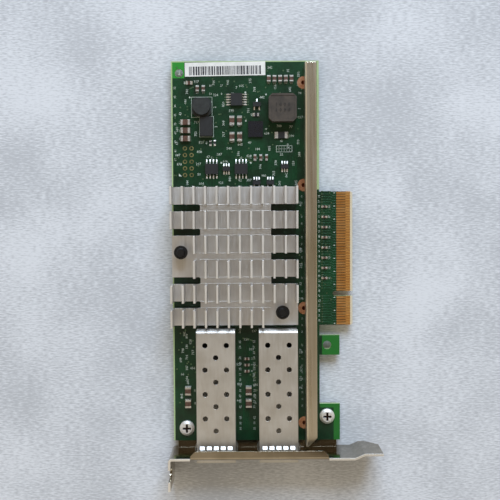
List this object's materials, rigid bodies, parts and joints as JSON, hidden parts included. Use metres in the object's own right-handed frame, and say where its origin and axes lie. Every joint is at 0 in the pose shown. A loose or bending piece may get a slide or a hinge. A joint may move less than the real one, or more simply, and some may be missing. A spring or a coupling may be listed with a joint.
{
  "type": "network interface card",
  "caption": "Low-profile expansion card with pluggable-module port cages at a folded bracket, a finned heat sink, a stiffener rail and a gold edge connector.",
  "frame": {"origin": "middle of the underside of the card's bounding box, with the card lying component side up", "axes": "+Y from the bracket to the far end of the board, +Z out of the component side, +X towards the edge connector"},
  "size_m": [0.0796, 0.1606, 0.0184],
  "materials": {
    "solder_mask_green": "green solder mask over glass laminate",
    "contact_gold": "gold plating over nickel",
    "nickel_plated_steel": "bright nickel plate",
    "screw_steel": "bright zinc plate",
    "cage_steel": "satin nickel plated sheet",
    "finger_steel": "bright spring sheet",
    "tinned_metal": "tinned",
    "sink_aluminium": "bare extruded",
    "black_nylon": "moulded",
    "black_moulding": "moulded",
    "rail_steel": "plated folded sheet",
    "bare_copper": "bare copper",
    "grey_ferrite": "pressed powder",
    "dark_ferrite": "fired",
    "brown_ceramic": "fired",
    "soft_pad_grey": "gap filler",
    "label_paper": "blank white",
    "substrate_green": "laminate substrate with lid"
  },
  "bodies": {
    "root": {"circuit_board": "solder_mask_green", "edge_contacts": "contact_gold", "bracket": "nickel_plated_steel", "bracket_screw_left": "screw_steel", "bracket_screw_right": "screw_steel", "port_cage_left": "cage_steel", "port_cage_right": "cage_steel", "cage_fingers_left": "finger_steel", "cage_fingers_right": "finger_steel", "port_connector_left": "black_moulding", "port_connector_right": "black_moulding", "cage_tails": "tinned_metal", "connector_leads": "tinned_metal", "controller_chip": "substrate_green", "thermal_pad": "soft_pad_grey", "heat_sink": "sink_aluminium", "push_pin_left": "black_nylon", "push_pin_right": "black_nylon", "pin_spring_left": "finger_steel", "pin_spring_right": "finger_steel", "stiffener_rail": "rail_steel", "rail_ground_rings": "bare_copper", "power_choke": "grey_ferrite", "drum_choke": "dark_ferrite", "power_switch": "black_moulding", "converter_chip": "black_moulding", "memory_chips": "black_moulding", "memory_chip_leads": "tinned_metal", "regulator_chip": "black_moulding", "regulator_chip_leads": "tinned_metal", "transistor_bodies": "black_moulding", "transistor_leads": "tinned_metal", "ceramic_capacitors": "brown_ceramic", "chassis_capacitors": "brown_ceramic", "chip_resistors": "black_moulding", "input_fuse": "brown_ceramic", "chip_part_ends": "tinned_metal", "underside_capacitors": "brown_ceramic", "underside_capacitor_ends": "tinned_metal", "header_pads": "tinned_metal", "paper_label": "label_paper"}
  },
  "joints": []
}
